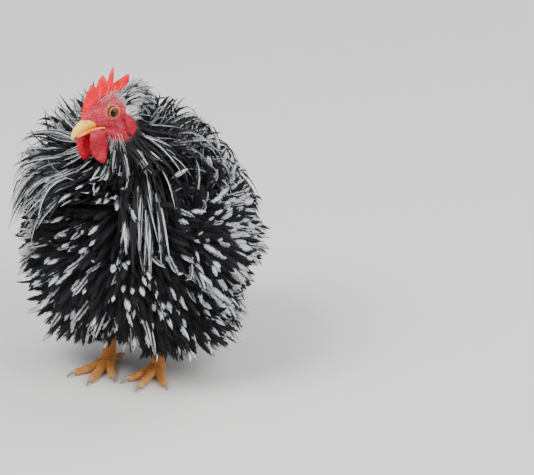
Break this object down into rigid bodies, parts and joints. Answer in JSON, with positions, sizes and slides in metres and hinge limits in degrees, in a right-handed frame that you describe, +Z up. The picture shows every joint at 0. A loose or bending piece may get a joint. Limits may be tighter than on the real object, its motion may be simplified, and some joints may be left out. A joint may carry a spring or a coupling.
{
  "type": "frizzle bantam cockerel",
  "caption": "Life-size still model of a standing frizzle bantam cockerel with curled mottled feathers, single comb and wattles, resting on its own feet.",
  "frame": {"origin": "middle of the bird's bounding box at the floor its feet stand on", "axes": "+Z up, -Y the way the body faces, +X the bird's left side"},
  "size_m": [0.2352, 0.2832, 0.3022],
  "materials": {
    "skin": "soft satin",
    "horn": "satin",
    "plume": "matte with white spangles",
    "scale": "satin",
    "claw": "satin",
    "eye": "glossy"
  },
  "bodies": {
    "root": {"back": "plume", "beak_lower": "horn", "beak_upper": "horn", "belly": "plume", "breast": "plume", "claw_left_hind": "claw", "claw_left_inner": "claw", "claw_left_middle": "claw", "claw_left_outer": "claw", "claw_right_hind": "claw", "claw_right_inner": "claw", "claw_right_middle": "claw", "claw_right_outer": "claw", "comb": "skin", "earlobe_left": "skin", "earlobe_right": "skin", "eye_left": "eye", "eye_right": "eye", "foot_left": "scale", "foot_right": "scale", "head": "skin", "neck": "plume", "shank_left": "scale", "shank_right": "scale", "tail": "plume", "thigh_left": "plume", "thigh_right": "plume", "wattle_left": "skin", "wattle_right": "skin", "wing_left": "plume", "wing_right": "plume"}
  },
  "joints": []
}
